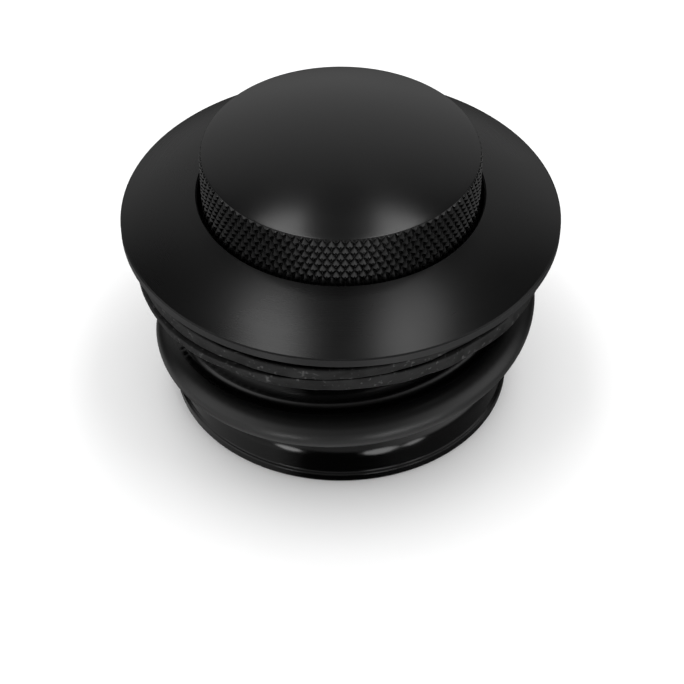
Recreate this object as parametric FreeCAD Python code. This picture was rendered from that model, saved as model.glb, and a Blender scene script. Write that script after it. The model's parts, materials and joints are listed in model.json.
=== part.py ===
import FreeCAD, Part
import math
import os

# Screw-in filler cap of a motorcycle fuel tank, with a grip knob that pops up out of the
# cap and latches flush when it is pressed down. All sizes are in millimetres.
# Origin: on the cap's axis, in the plane where the neck gasket seats on the filler neck.
# +Z points up, out of the tank. The cap's front is -Y, and +X is to its right.

V = FreeCAD.Vector

# ---------------------------------------------------------------- driving dimensions
FLANGE_R = 40.0          # outer radius of the bezel
SEAT_TO_EDGE = 9.2       # from the gasket's sealing face up to the bezel's top outer edge
CROWN_RISE = 4.3         # how far the bezel rises from its outer edge to the knob hole
RIM = 1.6                # thickness of the bezel at its outer edge
HOLE_R = 26.0            # knob hole in the bezel
KNOB_R = 25.2            # outside of the knob's grip band
KNOB_POP = 8.5           # grip band showing above the bezel when the knob is up
STROKE = 10.5            # knob travel from popped up to fully pressed
PLUG_DEPTH = 29.6        # from the sealing face down to the plug's bottom
SPIGOT_R = 31.6          # plug outside, below the thread
SHOULDER_ROUND = 6.0     # radius of the rounded shoulder at the spigot's top
SHOULDER_TILT = math.radians(30)
ROOT_R = SPIGOT_R - SHOULDER_ROUND * (1 - math.cos(SHOULDER_TILT))
THREAD_PITCH = 15.5      # rise of the thread in one turn
THREAD_ROUND = 3.6       # radius of the thread's half-round section
FIT = 0.05               # radial running clearance of sliding fits
LOOSE_FIT = 0.1          # clearance round parts that drop into a recess
SOFT_GAP = 0.05          # gap left round rubber parts
OVERLAP = 0.5            # how far joined or cutting shapes reach into one another

# ---------------------------------------------------------------- levels on the axis
EDGE_TOP = SEAT_TO_EDGE
EDGE_BOTTOM = EDGE_TOP - RIM
CROWN_TOP = EDGE_TOP + CROWN_RISE
PLUG_FLANGE = 2.9                       # thickness of the plug's clamping flange
GASKET_TOP = EDGE_BOTTOM - PLUG_FLANGE
FLOOR_TOP = -5.0                        # floor of the bezel, under the knob
SHELF_TOP = -8.0                        # shelf of the plug, under the bezel's floor
SHELF_BOTTOM = -12.0
SHOULDER_BOTTOM = -23.6
SHOULDER_TOP = SHOULDER_BOTTOM + SHOULDER_ROUND * math.sin(SHOULDER_TILT)
BOTTOM = -PLUG_DEPTH
COVER_TOP = BOTTOM + 2.5
GRIP_TOP = CROWN_TOP + KNOB_POP
CHAMFER_H = 0.7
DOME_EDGE = GRIP_TOP + CHAMFER_H
DOME_RISE = 3.5
KNOB_CEILING = 20.3                     # flat underside of the knob's dome
KNOB_FLOOR_GAP = 1.5                    # left under the knob when it is fully pressed
KNOB_BOTTOM = FLOOR_TOP + STROKE + KNOB_FLOOR_GAP
KNOB_WALL = 2.3
KNOB_CHAMFER = 0.4

# ---------------------------------------------------------------- radii and small parts
PLUG_FLANGE_R = 36.8
SLEEVE_R = 28.4
CHAMBER_R = 21.2
BEZEL_BEVEL = 0.25
HOLE_CHAMFER = 0.3
CROWN_BULGE = 0.5                       # how far the bezel's top stands above a plain cone

SEAL_GROOVE_R = 26.9                    # bezel O-ring
SEAL_GROOVE_Z = 2.0
SEAL_GROOVE_H = 1.9
SEAL_RING_R = 27.65
SEAL_RING_WIRE = 0.7

FIXING_COUNT = 6                        # screws from the bezel's floor into the plug
FIXING_PITCH_R = 23.2
FIXING_FIRST_DEG = 30.0
FIXING_LENGTH = 9.0
SCREW_R = 1.5
SCREW_HEAD_R = 2.6
SCREW_HEAD_H = 1.3
SOCKET_R = 1.15
SOCKET_DEPTH = 1.0

DRIVE_COUNT = 3                         # pins that turn the plug with the knob
DRIVE_PITCH_R = 18.8
DRIVE_PIN_R = 2.0
DRIVE_PIN_TOP = 19.6
DRIVE_PIN_BOTTOM = -11.4
DRIVE_BOSS_R = 2.9
DRIVE_BOSS_BOTTOM = 13.0
BUSH_R = 3.2
PIN_END_CHAMFER = 0.4

STEM_R = 7.0
STEM_TOP = 18.0
STEM_BOTTOM = -15.6
STEM_BORE_R = 2.1
STEM_FLAT_X = 5.2                       # flat that carries the latch track
STEM_FLAT_BOTTOM = 1.5
STEM_SCREW_R = 2.0
STEM_SCREW_TOP = 20.6
STEM_SCREW_HEAD_R = 3.5
STEM_SCREW_HEAD_H = 4.0
STEM_SOCKET_R = 1.7
STEM_SOCKET_DEPTH = 2.2
STEM_END_CHAMFER = 0.5
STEM_RECESS_R = 3.8
STEM_RECESS_TOP = -11.0
KNOB_BOSS_R = 8.0

TURRET_R = 13.0
TURRET_TOP = 7.2
TURRET_FLANGE_R = 14.8
TURRET_FLANGE_BOTTOM = -10.5
TURRET_SPIGOT_R = 11.0
TURRET_CHAMFER = 0.6
TURRET_GAP = 0.2
POCKET_FLOOR_X = 9.0                    # flat pocket in the turret for the latch follower
POCKET_HALF = 5.2
POCKET_BOTTOM = -7.6
WINDOW_HALF = 3.35                      # slot that lets the follower's pin reach the stem
WINDOW_BOTTOM = 2.8
WINDOW_TOP = 6.3

CHANNEL_Y = 2.2                         # the track's two channels lie at +Y and -Y of centre
TRACK_FLOOR_X = 3.2
TRACK_HALF = 3.35
TRACK_BOTTOM = 2.6
TRACK_TOP = 16.9
ISLAND_BOTTOM = 7.4                     # heart-shaped island between the channels
ISLAND_TOP = 12.9
ISLAND_NOTCH = 1.3
ISLAND_HALF = 1.1
ISLAND_POINT = 1.6                      # length of the island's pointed lower end

FOLLOWER_PIVOT_Z = -5.0
FOLLOWER_LENGTH = 10.0
FOLLOWER_PIN_R = 0.9
FOLLOWER_PIN_X = 3.4
FOLLOWER_INNER_X = 9.1
FOLLOWER_OUTER_X = 10.9
FOLLOWER_ROOT_R = 2.2
FOLLOWER_TIP_R = 1.7
PIVOT_R = 1.5
PIVOT_INNER_X = 7.4
PIVOT_HEAD_X = 11.0
PIVOT_OUTER_X = 11.9
PIVOT_HEAD_R = 2.4
PIVOT_SLOT_DEPTH = 0.5
PIVOT_SLOT_HALF = 0.35

STEM_SEAL_WIRE = 0.8
STEM_SEAL_Z = -10.2
STEM_SEAL_GROOVE_R = 8.75
STEM_SEAL_GROOVE_H = 1.9

TURRET_SEAL_R = 12.9
TURRET_SEAL_WIRE = 0.5
TURRET_SEAL_GROOVE = 1.1

STOP_WASHER_R = 10.5
STOP_WASHER_H = 1.0
RING_H = 1.0
RING_GROOVE_R = 6.2
RING_R = 9.2
RING_GAP_DEG = 30.0

POP_SPRING_R = 15.2
POP_SPRING_WIRE = 0.65
POP_SPRING_TURNS = 8

VENT_R = 17.9                           # the vent valve's distance from the axis, at -X
VENT_PASSAGE_R = 1.5
VENT_BODY_R = 3.2
VENT_BODY_BOTTOM = -21.0
VENT_BORE_R = 0.8
VENT_CHAMBER_R = 2.4
VENT_SEAT_Z = -13.2
VENT_CHAMBER_TOP = -14.8
VENT_POPPET_R = 2.0
VENT_POPPET_H = 1.2
VENT_GUIDE_R = 0.7
VENT_LIFT = 1.2                         # how far the poppet opens
VENT_SPRING_R = 1.35
VENT_SPRING_WIRE = 0.18
VENT_SPRING_TURNS = 6
VENT_CAP_H = 1.0
VENT_GUIDE_BOTTOM = VENT_BODY_BOTTOM + VENT_CAP_H + VENT_LIFT + 0.2
VENT_FACE_R = 0.9
VENT_CAP_HOLE_R = 0.9
FILTER_R = 2.0
FILTER_H = 1.5

COVER_R = 28.5
COVER_SCREW_COUNT = 6
COVER_SCREW_PITCH_R = 25.6
COVER_SCREW_LENGTH = 8.0
COVER_VENT_COUNT = 6
COVER_VENT_PITCH_R = 12.0
COVER_VENT_FIRST_DEG = 30.0
COVER_VENT_R = 1.5
COVER_SEAL_R = 22.4
COVER_SEAL_WIRE = 0.55
COVER_SEAL_GROOVE_HALF = 0.75
COVER_SEAL_GROOVE_DEPTH = 1.2

GASKET_IN_R = 31.0                      # slightly larger than the plug, so the ring slips on
GASKET_R = 37.8                         # upper lip
LIP_R = 37.6                            # lower lip, which seals
LIP_TOP = 2.2
LIP_ROUND = 0.8
CREASE = 0.5                            # half the mouth of the groove between the lips
CREASE_R = 36.6
BEAD_R = 32.0                           # bead round the plug's bottom edge
BEAD_H = 2.1
BEAD_BEVEL = 0.3

THREAD_START_DEG = 150.0                # lower end of the thread, at the back left
THREAD_TURN_DEG = 300.0
THREAD_FRONT_Z = -14.8                  # middle of the thread where it crosses the front
THREAD_FRONT_DEG = 270.0
THREAD_CREST_FRONT = 35.9
THREAD_CREST_GROWTH = 0.7               # the crest grows this much in each quarter turn
THREAD_LEAD_IN_DEG = 30.0
THREAD_RUN_OUT_DEG = 45.0
THREAD_STEP_DEG = 15.0
THREAD_FILLET = 1.2                     # concave radius at the thread's root
THREAD_ROOT_SINK = 0.12                 # the fillets end this far under the plug's surface
THREAD_INNER_R = ROOT_R - 1.8           # the thread's solid reaches this far into the wall
THREAD_LEAST = 0.3                      # height left at the thread's two ends
FILLET_STEPS = 3
CREST_STEPS = 14


# ---------------------------------------------------------------- helpers
def turned(points, bulge=None):
    """Solid of revolution about Z. points are (radius, height); bulge maps the index of an
    edge to the (radius, height) point its arc passes through."""
    edges = []
    count = len(points)
    for i in range(count):
        a = V(points[i][0], 0, points[i][1])
        b = V(points[(i + 1) % count][0], 0, points[(i + 1) % count][1])
        if bulge and i in bulge:
            middle = V(bulge[i][0], 0, bulge[i][1])
            edges.append(Part.Arc(a, middle, b).toShape())
        else:
            edges.append(Part.makeLine(a, b))
    face = Part.Face(Part.Wire(edges))
    return face.revolve(V(0, 0, 0), V(0, 0, 1), 360)


def rod(radius, low, high, x=0.0, y=0.0):
    """Upright cylinder between two heights."""
    return Part.makeCylinder(radius, high - low, V(x, y, low))


def across(radius, x_from, x_to, y, z):
    """Cylinder lying along X."""
    return Part.makeCylinder(radius, x_to - x_from, V(x_from, y, z), V(1, 0, 0))


def block(x, y, z):
    """Box from three (low, high) pairs."""
    return Part.makeBox(x[1] - x[0], y[1] - y[0], z[1] - z[0], V(x[0], y[0], z[0]))


def ring_places(radius, count, first_deg=0.0):
    """Centres evenly spaced on a circle."""
    places = []
    for i in range(count):
        t = math.radians(first_deg + i * 360.0 / count)
        places.append((radius * math.cos(t), radius * math.sin(t)))
    return places


def o_ring(radius, wire, z):
    return Part.makeTorus(radius, wire, V(0, 0, z))


def coil(radius, wire, low, high, turns):
    """Compression spring with one close-wound turn at each end."""
    per_turn = 16
    close = 2.1 * wire
    open_turns = turns - 2
    start = low + wire + SOFT_GAP
    end = high - wire - SOFT_GAP
    rise = (end - start - 2 * close) / open_turns
    points = []
    for i in range(turns * per_turn + 1):
        turn = i / per_turn
        height = start + close * min(turn, 1.0)
        height += rise * min(max(turn - 1.0, 0.0), open_turns)
        height += close * max(turn - 1.0 - open_turns, 0.0)
        angle = 2 * math.pi * turn
        points.append(V(radius * math.cos(angle), radius * math.sin(angle), height))
    curve = Part.BSplineCurve()
    curve.interpolate(points)
    spine = Part.Wire([curve.toShape()])
    circle = Part.makeCircle(wire, points[0], curve.tangent(curve.FirstParameter)[0])
    sweep = Part.BRepOffsetAPI.MakePipeShell(spine)
    sweep.setFrenetMode(True)
    sweep.add(Part.Wire([circle]))
    sweep.build()
    sweep.makeSolid()
    return sweep.shape()


def hex_socket(radius, depth, x, y, z):
    """Six-sided socket cut along Z from height z; a negative depth goes down."""
    corner = []
    for i in range(7):
        t = math.radians(60 * i)
        corner.append(V(x + radius * math.cos(t), y + radius * math.sin(t), z))
    return Part.Face(Part.makePolygon(corner)).extrude(V(0, 0, depth))


def countersunk_screw(top, length, x, y, down=-1):
    """Countersunk socket screw with its flat head face at height top."""
    whole = countersink(top, length, x, y, down)
    return whole.cut(hex_socket(SOCKET_R, down * SOCKET_DEPTH, x, y, top)).removeSplitter()


def countersink(top, length, x, y, down=-1):
    """Space taken by a countersunk screw."""
    head = Part.makeCone(SCREW_HEAD_R, SCREW_R, SCREW_HEAD_H, V(x, y, top), V(0, 0, down))
    return head.fuse(Part.makeCylinder(SCREW_R, length, V(x, y, top), V(0, 0, down)))


# ---------------------------------------------------------------- fixed outer parts
def make_bezel():
    """Domed ring round the knob hole, with a sleeve and a floor under the knob."""
    middle_r = (FLANGE_R + HOLE_R) / 2
    middle_z = (EDGE_TOP + CROWN_TOP) / 2 + CROWN_BULGE
    floor_hole_r = TURRET_R + TURRET_GAP
    outline = [
        (floor_hole_r, SHELF_TOP),
        (SLEEVE_R, SHELF_TOP),
        (SLEEVE_R, EDGE_BOTTOM),
        (FLANGE_R, EDGE_BOTTOM),
        (FLANGE_R, EDGE_TOP - BEZEL_BEVEL),
        (FLANGE_R - BEZEL_BEVEL, EDGE_TOP),
        (HOLE_R + HOLE_CHAMFER, CROWN_TOP),
        (HOLE_R, CROWN_TOP - HOLE_CHAMFER),
        (HOLE_R, FLOOR_TOP),
        (floor_hole_r, FLOOR_TOP),
    ]
    body = turned(outline, {5: (middle_r, middle_z)})
    groove = turned([
        (SEAL_GROOVE_R, SEAL_GROOVE_Z),
        (SLEEVE_R + OVERLAP, SEAL_GROOVE_Z),
        (SLEEVE_R + OVERLAP, SEAL_GROOVE_Z + SEAL_GROOVE_H),
        (SEAL_GROOVE_R, SEAL_GROOVE_Z + SEAL_GROOVE_H),
    ])
    body = body.cut(groove)
    for x, y in ring_places(FIXING_PITCH_R, FIXING_COUNT, FIXING_FIRST_DEG):
        body = body.cut(countersink(FLOOR_TOP, FIXING_LENGTH, x, y))
    for x, y in ring_places(DRIVE_PITCH_R, DRIVE_COUNT):
        body = body.cut(rod(BUSH_R, SHELF_TOP, FLOOR_TOP, x, y))
    body = body.cut(rod(VENT_PASSAGE_R, SHELF_TOP, FLOOR_TOP, -VENT_R, 0))
    body = body.cut(rod(FILTER_R, FLOOR_TOP - FILTER_H, FLOOR_TOP, -VENT_R, 0))
    return body


def make_bezel_screws():
    screws = []
    for x, y in ring_places(FIXING_PITCH_R, FIXING_COUNT, FIXING_FIRST_DEG):
        screws.append(countersunk_screw(FLOOR_TOP, FIXING_LENGTH, x, y))
    return Part.makeCompound(screws)


def make_bezel_o_ring():
    return o_ring(SEAL_RING_R, SEAL_RING_WIRE, SEAL_GROOVE_Z + SEAL_GROOVE_H / 2)


def thread_section(angle_deg):
    """Closed outline of the half-round thread in the plane through the axis at one angle."""
    along = angle_deg - THREAD_START_DEG
    lead_in = min(1.0, along / THREAD_LEAD_IN_DEG)
    run_out = min(1.0, (THREAD_TURN_DEG - along) / THREAD_RUN_OUT_DEG)
    fade = math.sin(math.pi / 2 * min(lead_in, run_out))
    from_front = (angle_deg - THREAD_FRONT_DEG) / 360.0
    middle = THREAD_FRONT_Z + THREAD_PITCH * from_front
    crest = THREAD_CREST_FRONT + 4 * THREAD_CREST_GROWTH * from_front
    wall = ROOT_R - THREAD_ROOT_SINK
    lowest = wall + THREAD_LEAST
    crest = lowest + (crest - lowest) * fade
    centre = crest - THREAD_ROUND
    reach = THREAD_ROUND + THREAD_FILLET
    fillet_r = wall + THREAD_FILLET
    lean = math.acos((fillet_r - centre) / reach)
    fillet_z = reach * math.sin(lean)
    profile = []
    for i in range(FILLET_STEPS):
        a = lean * i / FILLET_STEPS
        r = fillet_r - THREAD_FILLET * math.cos(a)
        profile.append((r, fillet_z - THREAD_FILLET * math.sin(a)))
    for i in range(CREST_STEPS + 1):
        a = lean - 2 * lean * i / CREST_STEPS
        profile.append((centre + THREAD_ROUND * math.cos(a), THREAD_ROUND * math.sin(a)))
    for i in range(FILLET_STEPS - 1, -1, -1):
        r, z = profile[i]
        profile.append((r, -z))
    t = math.radians(angle_deg)
    outward = V(math.cos(t), math.sin(t), 0)
    points = [outward * r + V(0, 0, middle - z) for r, z in profile]
    curve = Part.BSplineCurve()
    curve.interpolate(points)
    low = outward * THREAD_INNER_R + V(0, 0, points[0].z)
    high = outward * THREAD_INNER_R + V(0, 0, points[-1].z)
    edges = [
        curve.toShape(),
        Part.makeLine(points[-1], high),
        Part.makeLine(high, low),
        Part.makeLine(low, points[0]),
    ]
    return Part.Wire(edges)


def make_thread():
    sections = []
    steps = int(THREAD_TURN_DEG / THREAD_STEP_DEG)
    for i in range(steps + 1):
        sections.append(thread_section(THREAD_START_DEG + i * THREAD_STEP_DEG))
    return Part.makeLoft(sections, True, False)


def make_plug():
    """Turned plug with a coarse rounded thread, a shelf for the latch, a rounded shoulder
    above the spigot and a lower chamber."""
    bead_top = BOTTOM + BEAD_H
    outline = [
        (SLEEVE_R, EDGE_BOTTOM),
        (PLUG_FLANGE_R, EDGE_BOTTOM),
        (PLUG_FLANGE_R, GASKET_TOP),
        (ROOT_R, GASKET_TOP),
        (ROOT_R, SHOULDER_TOP),
        (SPIGOT_R, SHOULDER_BOTTOM),
        (SPIGOT_R, bead_top),
        (BEAD_R, bead_top - BEAD_BEVEL),
        (BEAD_R, BOTTOM + BEAD_BEVEL),
        (BEAD_R - BEAD_BEVEL, BOTTOM),
        (COVER_R, BOTTOM),
        (COVER_R, COVER_TOP),
        (CHAMBER_R, COVER_TOP),
        (CHAMBER_R, SHELF_BOTTOM),
        (TURRET_SPIGOT_R, SHELF_BOTTOM),
        (TURRET_SPIGOT_R, TURRET_FLANGE_BOTTOM),
        (TURRET_FLANGE_R + LOOSE_FIT, TURRET_FLANGE_BOTTOM),
        (TURRET_FLANGE_R + LOOSE_FIT, SHELF_TOP),
        (SLEEVE_R, SHELF_TOP),
    ]
    half_tilt = SHOULDER_TILT / 2
    shoulder_r = SPIGOT_R - SHOULDER_ROUND * (1 - math.cos(half_tilt))
    shoulder_z = SHOULDER_BOTTOM + SHOULDER_ROUND * math.sin(half_tilt)
    body = turned(outline, {4: (shoulder_r, shoulder_z)})
    body = body.fuse(make_thread())
    for x, y in ring_places(FIXING_PITCH_R, FIXING_COUNT, FIXING_FIRST_DEG):
        body = body.cut(rod(SCREW_R, FLOOR_TOP - FIXING_LENGTH, SHELF_TOP, x, y))
    for x, y in ring_places(DRIVE_PITCH_R, DRIVE_COUNT):
        body = body.cut(rod(BUSH_R, SHELF_BOTTOM, SHELF_TOP, x, y))
    for x, y in ring_places(COVER_SCREW_PITCH_R, COVER_SCREW_COUNT):
        body = body.cut(rod(SCREW_R, COVER_TOP, BOTTOM + COVER_SCREW_LENGTH, x, y))
    body = body.cut(rod(VENT_PASSAGE_R, SHELF_BOTTOM, SHELF_TOP, -VENT_R, 0))
    return body


def make_neck_gasket():
    """Moulded rubber ring with two lips and a groove between them."""
    top = GASKET_TOP - SOFT_GAP
    corner = LIP_ROUND * (1 - math.sqrt(0.5))
    outline = [
        (GASKET_IN_R, 0.0),
        (LIP_R - LIP_ROUND, 0.0),
        (LIP_R, LIP_ROUND),
        (LIP_R, LIP_TOP - CREASE),
        (CREASE_R, LIP_TOP),
        (GASKET_R, LIP_TOP + CREASE),
        (GASKET_R, top - LIP_ROUND),
        (GASKET_R - LIP_ROUND, top),
        (GASKET_IN_R, top),
    ]
    low_round = (LIP_R - corner, corner)
    high_round = (GASKET_R - corner, top - corner)
    return turned(outline, {1: low_round, 6: high_round})


# ---------------------------------------------------------------- latch turret
def make_latch_turret():
    """Guide barrel for the stem, clamped by its flange between bezel floor and plug shelf."""
    bore = STEM_R + FIT
    outline = [
        (bore, SHELF_BOTTOM),
        (TURRET_SPIGOT_R, SHELF_BOTTOM),
        (TURRET_SPIGOT_R, TURRET_FLANGE_BOTTOM),
        (TURRET_FLANGE_R, TURRET_FLANGE_BOTTOM),
        (TURRET_FLANGE_R, SHELF_TOP),
        (TURRET_R, SHELF_TOP),
        (TURRET_R, TURRET_TOP - TURRET_CHAMFER),
        (TURRET_R - TURRET_CHAMFER, TURRET_TOP),
        (bore, TURRET_TOP),
    ]
    body = turned(outline)
    half = STEM_SEAL_GROOVE_H / 2
    body = body.cut(turned([
        (bore - OVERLAP, STEM_SEAL_Z - half),
        (STEM_SEAL_GROOVE_R, STEM_SEAL_Z - half),
        (STEM_SEAL_GROOVE_R, STEM_SEAL_Z + half),
        (bore - OVERLAP, STEM_SEAL_Z + half),
    ]))
    side = TURRET_SEAL_GROOVE / 2
    body = body.cut(turned([
        (TURRET_SEAL_R - side, TURRET_FLANGE_BOTTOM - OVERLAP),
        (TURRET_SEAL_R + side, TURRET_FLANGE_BOTTOM - OVERLAP),
        (TURRET_SEAL_R + side, TURRET_FLANGE_BOTTOM + TURRET_SEAL_GROOVE),
        (TURRET_SEAL_R - side, TURRET_FLANGE_BOTTOM + TURRET_SEAL_GROOVE),
    ]))
    beyond = TURRET_R + OVERLAP
    body = body.cut(block(
        (POCKET_FLOOR_X, beyond),
        (-POCKET_HALF, POCKET_HALF),
        (POCKET_BOTTOM, TURRET_TOP + OVERLAP),
    ))
    body = body.cut(block(
        (0, POCKET_FLOOR_X + OVERLAP),
        (-WINDOW_HALF, WINDOW_HALF),
        (WINDOW_BOTTOM, WINDOW_TOP),
    ))
    pivot_hole = across(PIVOT_R, PIVOT_INNER_X, POCKET_FLOOR_X, CHANNEL_Y, FOLLOWER_PIVOT_Z)
    return body.cut(pivot_hole)


def make_turret_o_ring():
    z = TURRET_FLANGE_BOTTOM + TURRET_SEAL_WIRE + SOFT_GAP
    return o_ring(TURRET_SEAL_R, TURRET_SEAL_WIRE, z)


def make_stem_o_ring():
    return o_ring(STEM_R + SOFT_GAP + STEM_SEAL_WIRE, STEM_SEAL_WIRE, STEM_SEAL_Z)


def make_guide_bushes():
    bushes = []
    for x, y in ring_places(DRIVE_PITCH_R, DRIVE_COUNT):
        outer = rod(BUSH_R, SHELF_BOTTOM, FLOOR_TOP, x, y)
        bushes.append(outer.cut(rod(DRIVE_PIN_R + FIT, SHELF_BOTTOM, FLOOR_TOP, x, y)))
    return Part.makeCompound(bushes)


def make_latch_follower():
    """Swinging arm with the pin that runs in the stem's track."""
    tip_z = FOLLOWER_PIVOT_Z + FOLLOWER_LENGTH
    root = across(FOLLOWER_ROOT_R, FOLLOWER_INNER_X, FOLLOWER_OUTER_X, CHANNEL_Y, FOLLOWER_PIVOT_Z)
    tip = across(FOLLOWER_TIP_R, FOLLOWER_INNER_X, FOLLOWER_OUTER_X, CHANNEL_Y, tip_z)
    side = FOLLOWER_TIP_R
    web = block(
        (FOLLOWER_INNER_X, FOLLOWER_OUTER_X),
        (CHANNEL_Y - side, CHANNEL_Y + side),
        (FOLLOWER_PIVOT_Z, tip_z),
    )
    arm = root.fuse(tip).fuse(web)
    hole = across(PIVOT_R + FIT, FOLLOWER_INNER_X, FOLLOWER_OUTER_X, CHANNEL_Y, FOLLOWER_PIVOT_Z)
    pin = across(FOLLOWER_PIN_R, FOLLOWER_PIN_X, FOLLOWER_OUTER_X, CHANNEL_Y, tip_z)
    return arm.cut(hole).fuse(pin).removeSplitter()


def make_follower_pivot():
    shank = across(PIVOT_R, PIVOT_INNER_X, PIVOT_OUTER_X, CHANNEL_Y, FOLLOWER_PIVOT_Z)
    head = across(PIVOT_HEAD_R, PIVOT_HEAD_X, PIVOT_OUTER_X, CHANNEL_Y, FOLLOWER_PIVOT_Z)
    slot = block(
        (PIVOT_OUTER_X - PIVOT_SLOT_DEPTH, PIVOT_OUTER_X + OVERLAP),
        (CHANNEL_Y - PIVOT_HEAD_R, CHANNEL_Y + PIVOT_HEAD_R),
        (FOLLOWER_PIVOT_Z - PIVOT_SLOT_HALF, FOLLOWER_PIVOT_Z + PIVOT_SLOT_HALF),
    )
    return shank.fuse(head).cut(slot)


# ---------------------------------------------------------------- knob and stem
def make_knob():
    """Grip knob: a cup with a shallow dome, a stem boss and three pin bosses inside."""
    inner = KNOB_R - KNOB_WALL
    dome_r = KNOB_R - KNOB_CHAMFER
    sphere = (dome_r ** 2 + DOME_RISE ** 2) / (2 * DOME_RISE)
    half = dome_r / 2
    half_z = DOME_EDGE + DOME_RISE - sphere + math.sqrt(sphere ** 2 - half ** 2)
    outline = [
        (0.0, DOME_EDGE + DOME_RISE),
        (0.0, KNOB_CEILING),
        (inner, KNOB_CEILING),
        (inner, KNOB_BOTTOM),
        (KNOB_R - KNOB_CHAMFER, KNOB_BOTTOM),
        (KNOB_R, KNOB_BOTTOM + KNOB_CHAMFER),
        (KNOB_R, GRIP_TOP),
        (dome_r, DOME_EDGE),
    ]
    body = turned(outline, {7: (half, half_z)})
    boss_top = KNOB_CEILING + OVERLAP
    body = body.fuse(rod(KNOB_BOSS_R, STEM_TOP, boss_top))
    for x, y in ring_places(DRIVE_PITCH_R, DRIVE_COUNT):
        body = body.fuse(rod(DRIVE_BOSS_R, DRIVE_BOSS_BOTTOM, boss_top, x, y))
        body = body.cut(rod(DRIVE_PIN_R, DRIVE_BOSS_BOTTOM, DRIVE_PIN_TOP, x, y))
    return body.cut(rod(STEM_SCREW_R, STEM_TOP, STEM_SCREW_TOP))


def make_drive_pins():
    pins = []
    for x, y in ring_places(DRIVE_PITCH_R, DRIVE_COUNT):
        low = DRIVE_PIN_BOTTOM + PIN_END_CHAMFER
        shank = rod(DRIVE_PIN_R, low, DRIVE_PIN_TOP, x, y)
        small = DRIVE_PIN_R - PIN_END_CHAMFER
        end = Part.makeCone(small, DRIVE_PIN_R, PIN_END_CHAMFER, V(x, y, DRIVE_PIN_BOTTOM))
        pins.append(shank.fuse(end))
    return Part.makeCompound(pins)


def make_stem():
    """Hollow stem with a push-push track cut in its flat: two channels round an island."""
    washer_low = SHELF_BOTTOM - SOFT_GAP - STOP_WASHER_H
    groove_top = washer_low - SOFT_GAP
    groove_low = groove_top - RING_H - 2 * SOFT_GAP
    outline = [
        (STEM_BORE_R, STEM_TOP),
        (STEM_BORE_R, STEM_RECESS_TOP),
        (STEM_RECESS_R, STEM_RECESS_TOP),
        (STEM_RECESS_R, STEM_BOTTOM),
        (STEM_R - STEM_END_CHAMFER, STEM_BOTTOM),
        (STEM_R, STEM_BOTTOM + STEM_END_CHAMFER),
        (STEM_R, groove_low),
        (RING_GROOVE_R, groove_low),
        (RING_GROOVE_R, groove_top),
        (STEM_R, groove_top),
        (STEM_R, STEM_TOP),
    ]
    body = turned(outline)
    flat_side = STEM_R + OVERLAP
    body = body.cut(block(
        (STEM_FLAT_X, flat_side),
        (-flat_side, flat_side),
        (STEM_FLAT_BOTTOM, STEM_TOP + OVERLAP),
    ))
    track = block(
        (TRACK_FLOOR_X, flat_side),
        (-TRACK_HALF, TRACK_HALF),
        (TRACK_BOTTOM, TRACK_TOP),
    )
    island = [
        (0, ISLAND_BOTTOM),
        (ISLAND_HALF, ISLAND_BOTTOM + ISLAND_POINT),
        (ISLAND_HALF, ISLAND_TOP),
        (0, ISLAND_TOP - ISLAND_NOTCH),
        (-ISLAND_HALF, ISLAND_TOP),
        (-ISLAND_HALF, ISLAND_BOTTOM + ISLAND_POINT),
        (0, ISLAND_BOTTOM),
    ]
    corner = [V(TRACK_FLOOR_X, y, z) for y, z in island]
    depth = STEM_FLAT_X - TRACK_FLOOR_X
    heart = Part.Face(Part.makePolygon(corner)).extrude(V(depth, 0, 0))
    return body.cut(track.cut(heart))


def make_stem_screw():
    shank = rod(STEM_SCREW_R, STEM_RECESS_TOP, STEM_SCREW_TOP)
    low = STEM_RECESS_TOP - STEM_SCREW_HEAD_H
    head = rod(STEM_SCREW_HEAD_R, low, STEM_RECESS_TOP)
    return shank.fuse(head).cut(hex_socket(STEM_SOCKET_R, STEM_SOCKET_DEPTH, 0, 0, low))


def make_stop_washer():
    """Rubber washer that softens the knob's upper stop."""
    top = SHELF_BOTTOM - SOFT_GAP
    inner = STEM_R + SOFT_GAP
    return rod(STOP_WASHER_R, top - STOP_WASHER_H, top).cut(rod(inner, top - STOP_WASHER_H, top))


def make_retaining_ring():
    """Open spring ring in the stem's groove."""
    top = SHELF_BOTTOM - STOP_WASHER_H - 3 * SOFT_GAP
    low = top - RING_H
    ring = rod(RING_R, low, top).cut(rod(RING_GROOVE_R + FIT, low, top))
    beyond = RING_R + 2
    half = beyond * math.tan(math.radians(RING_GAP_DEG / 2))
    mouth = Part.Face(Part.makePolygon([
        V(0, 0, low),
        V(-half, -beyond, low),
        V(half, -beyond, low),
        V(0, 0, low),
    ]))
    return ring.cut(mouth.extrude(V(0, 0, RING_H)))


def make_pop_spring():
    return coil(POP_SPRING_R, POP_SPRING_WIRE, FLOOR_TOP, KNOB_CEILING, POP_SPRING_TURNS)


# ---------------------------------------------------------------- vent valve
def at_vent(shape):
    shape.translate(V(-VENT_R, 0, 0))
    return shape


def make_vent_body():
    """Brass valve body pressed up into the shelf, with a conical seat."""
    outline = [
        (VENT_BORE_R, SHELF_TOP),
        (VENT_BORE_R, VENT_SEAT_Z),
        (VENT_CHAMBER_R, VENT_CHAMBER_TOP),
        (VENT_CHAMBER_R, VENT_BODY_BOTTOM),
        (VENT_BODY_R, VENT_BODY_BOTTOM),
        (VENT_BODY_R, SHELF_BOTTOM),
        (VENT_PASSAGE_R, SHELF_BOTTOM),
        (VENT_PASSAGE_R, SHELF_TOP),
    ]
    return at_vent(turned(outline))


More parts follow.
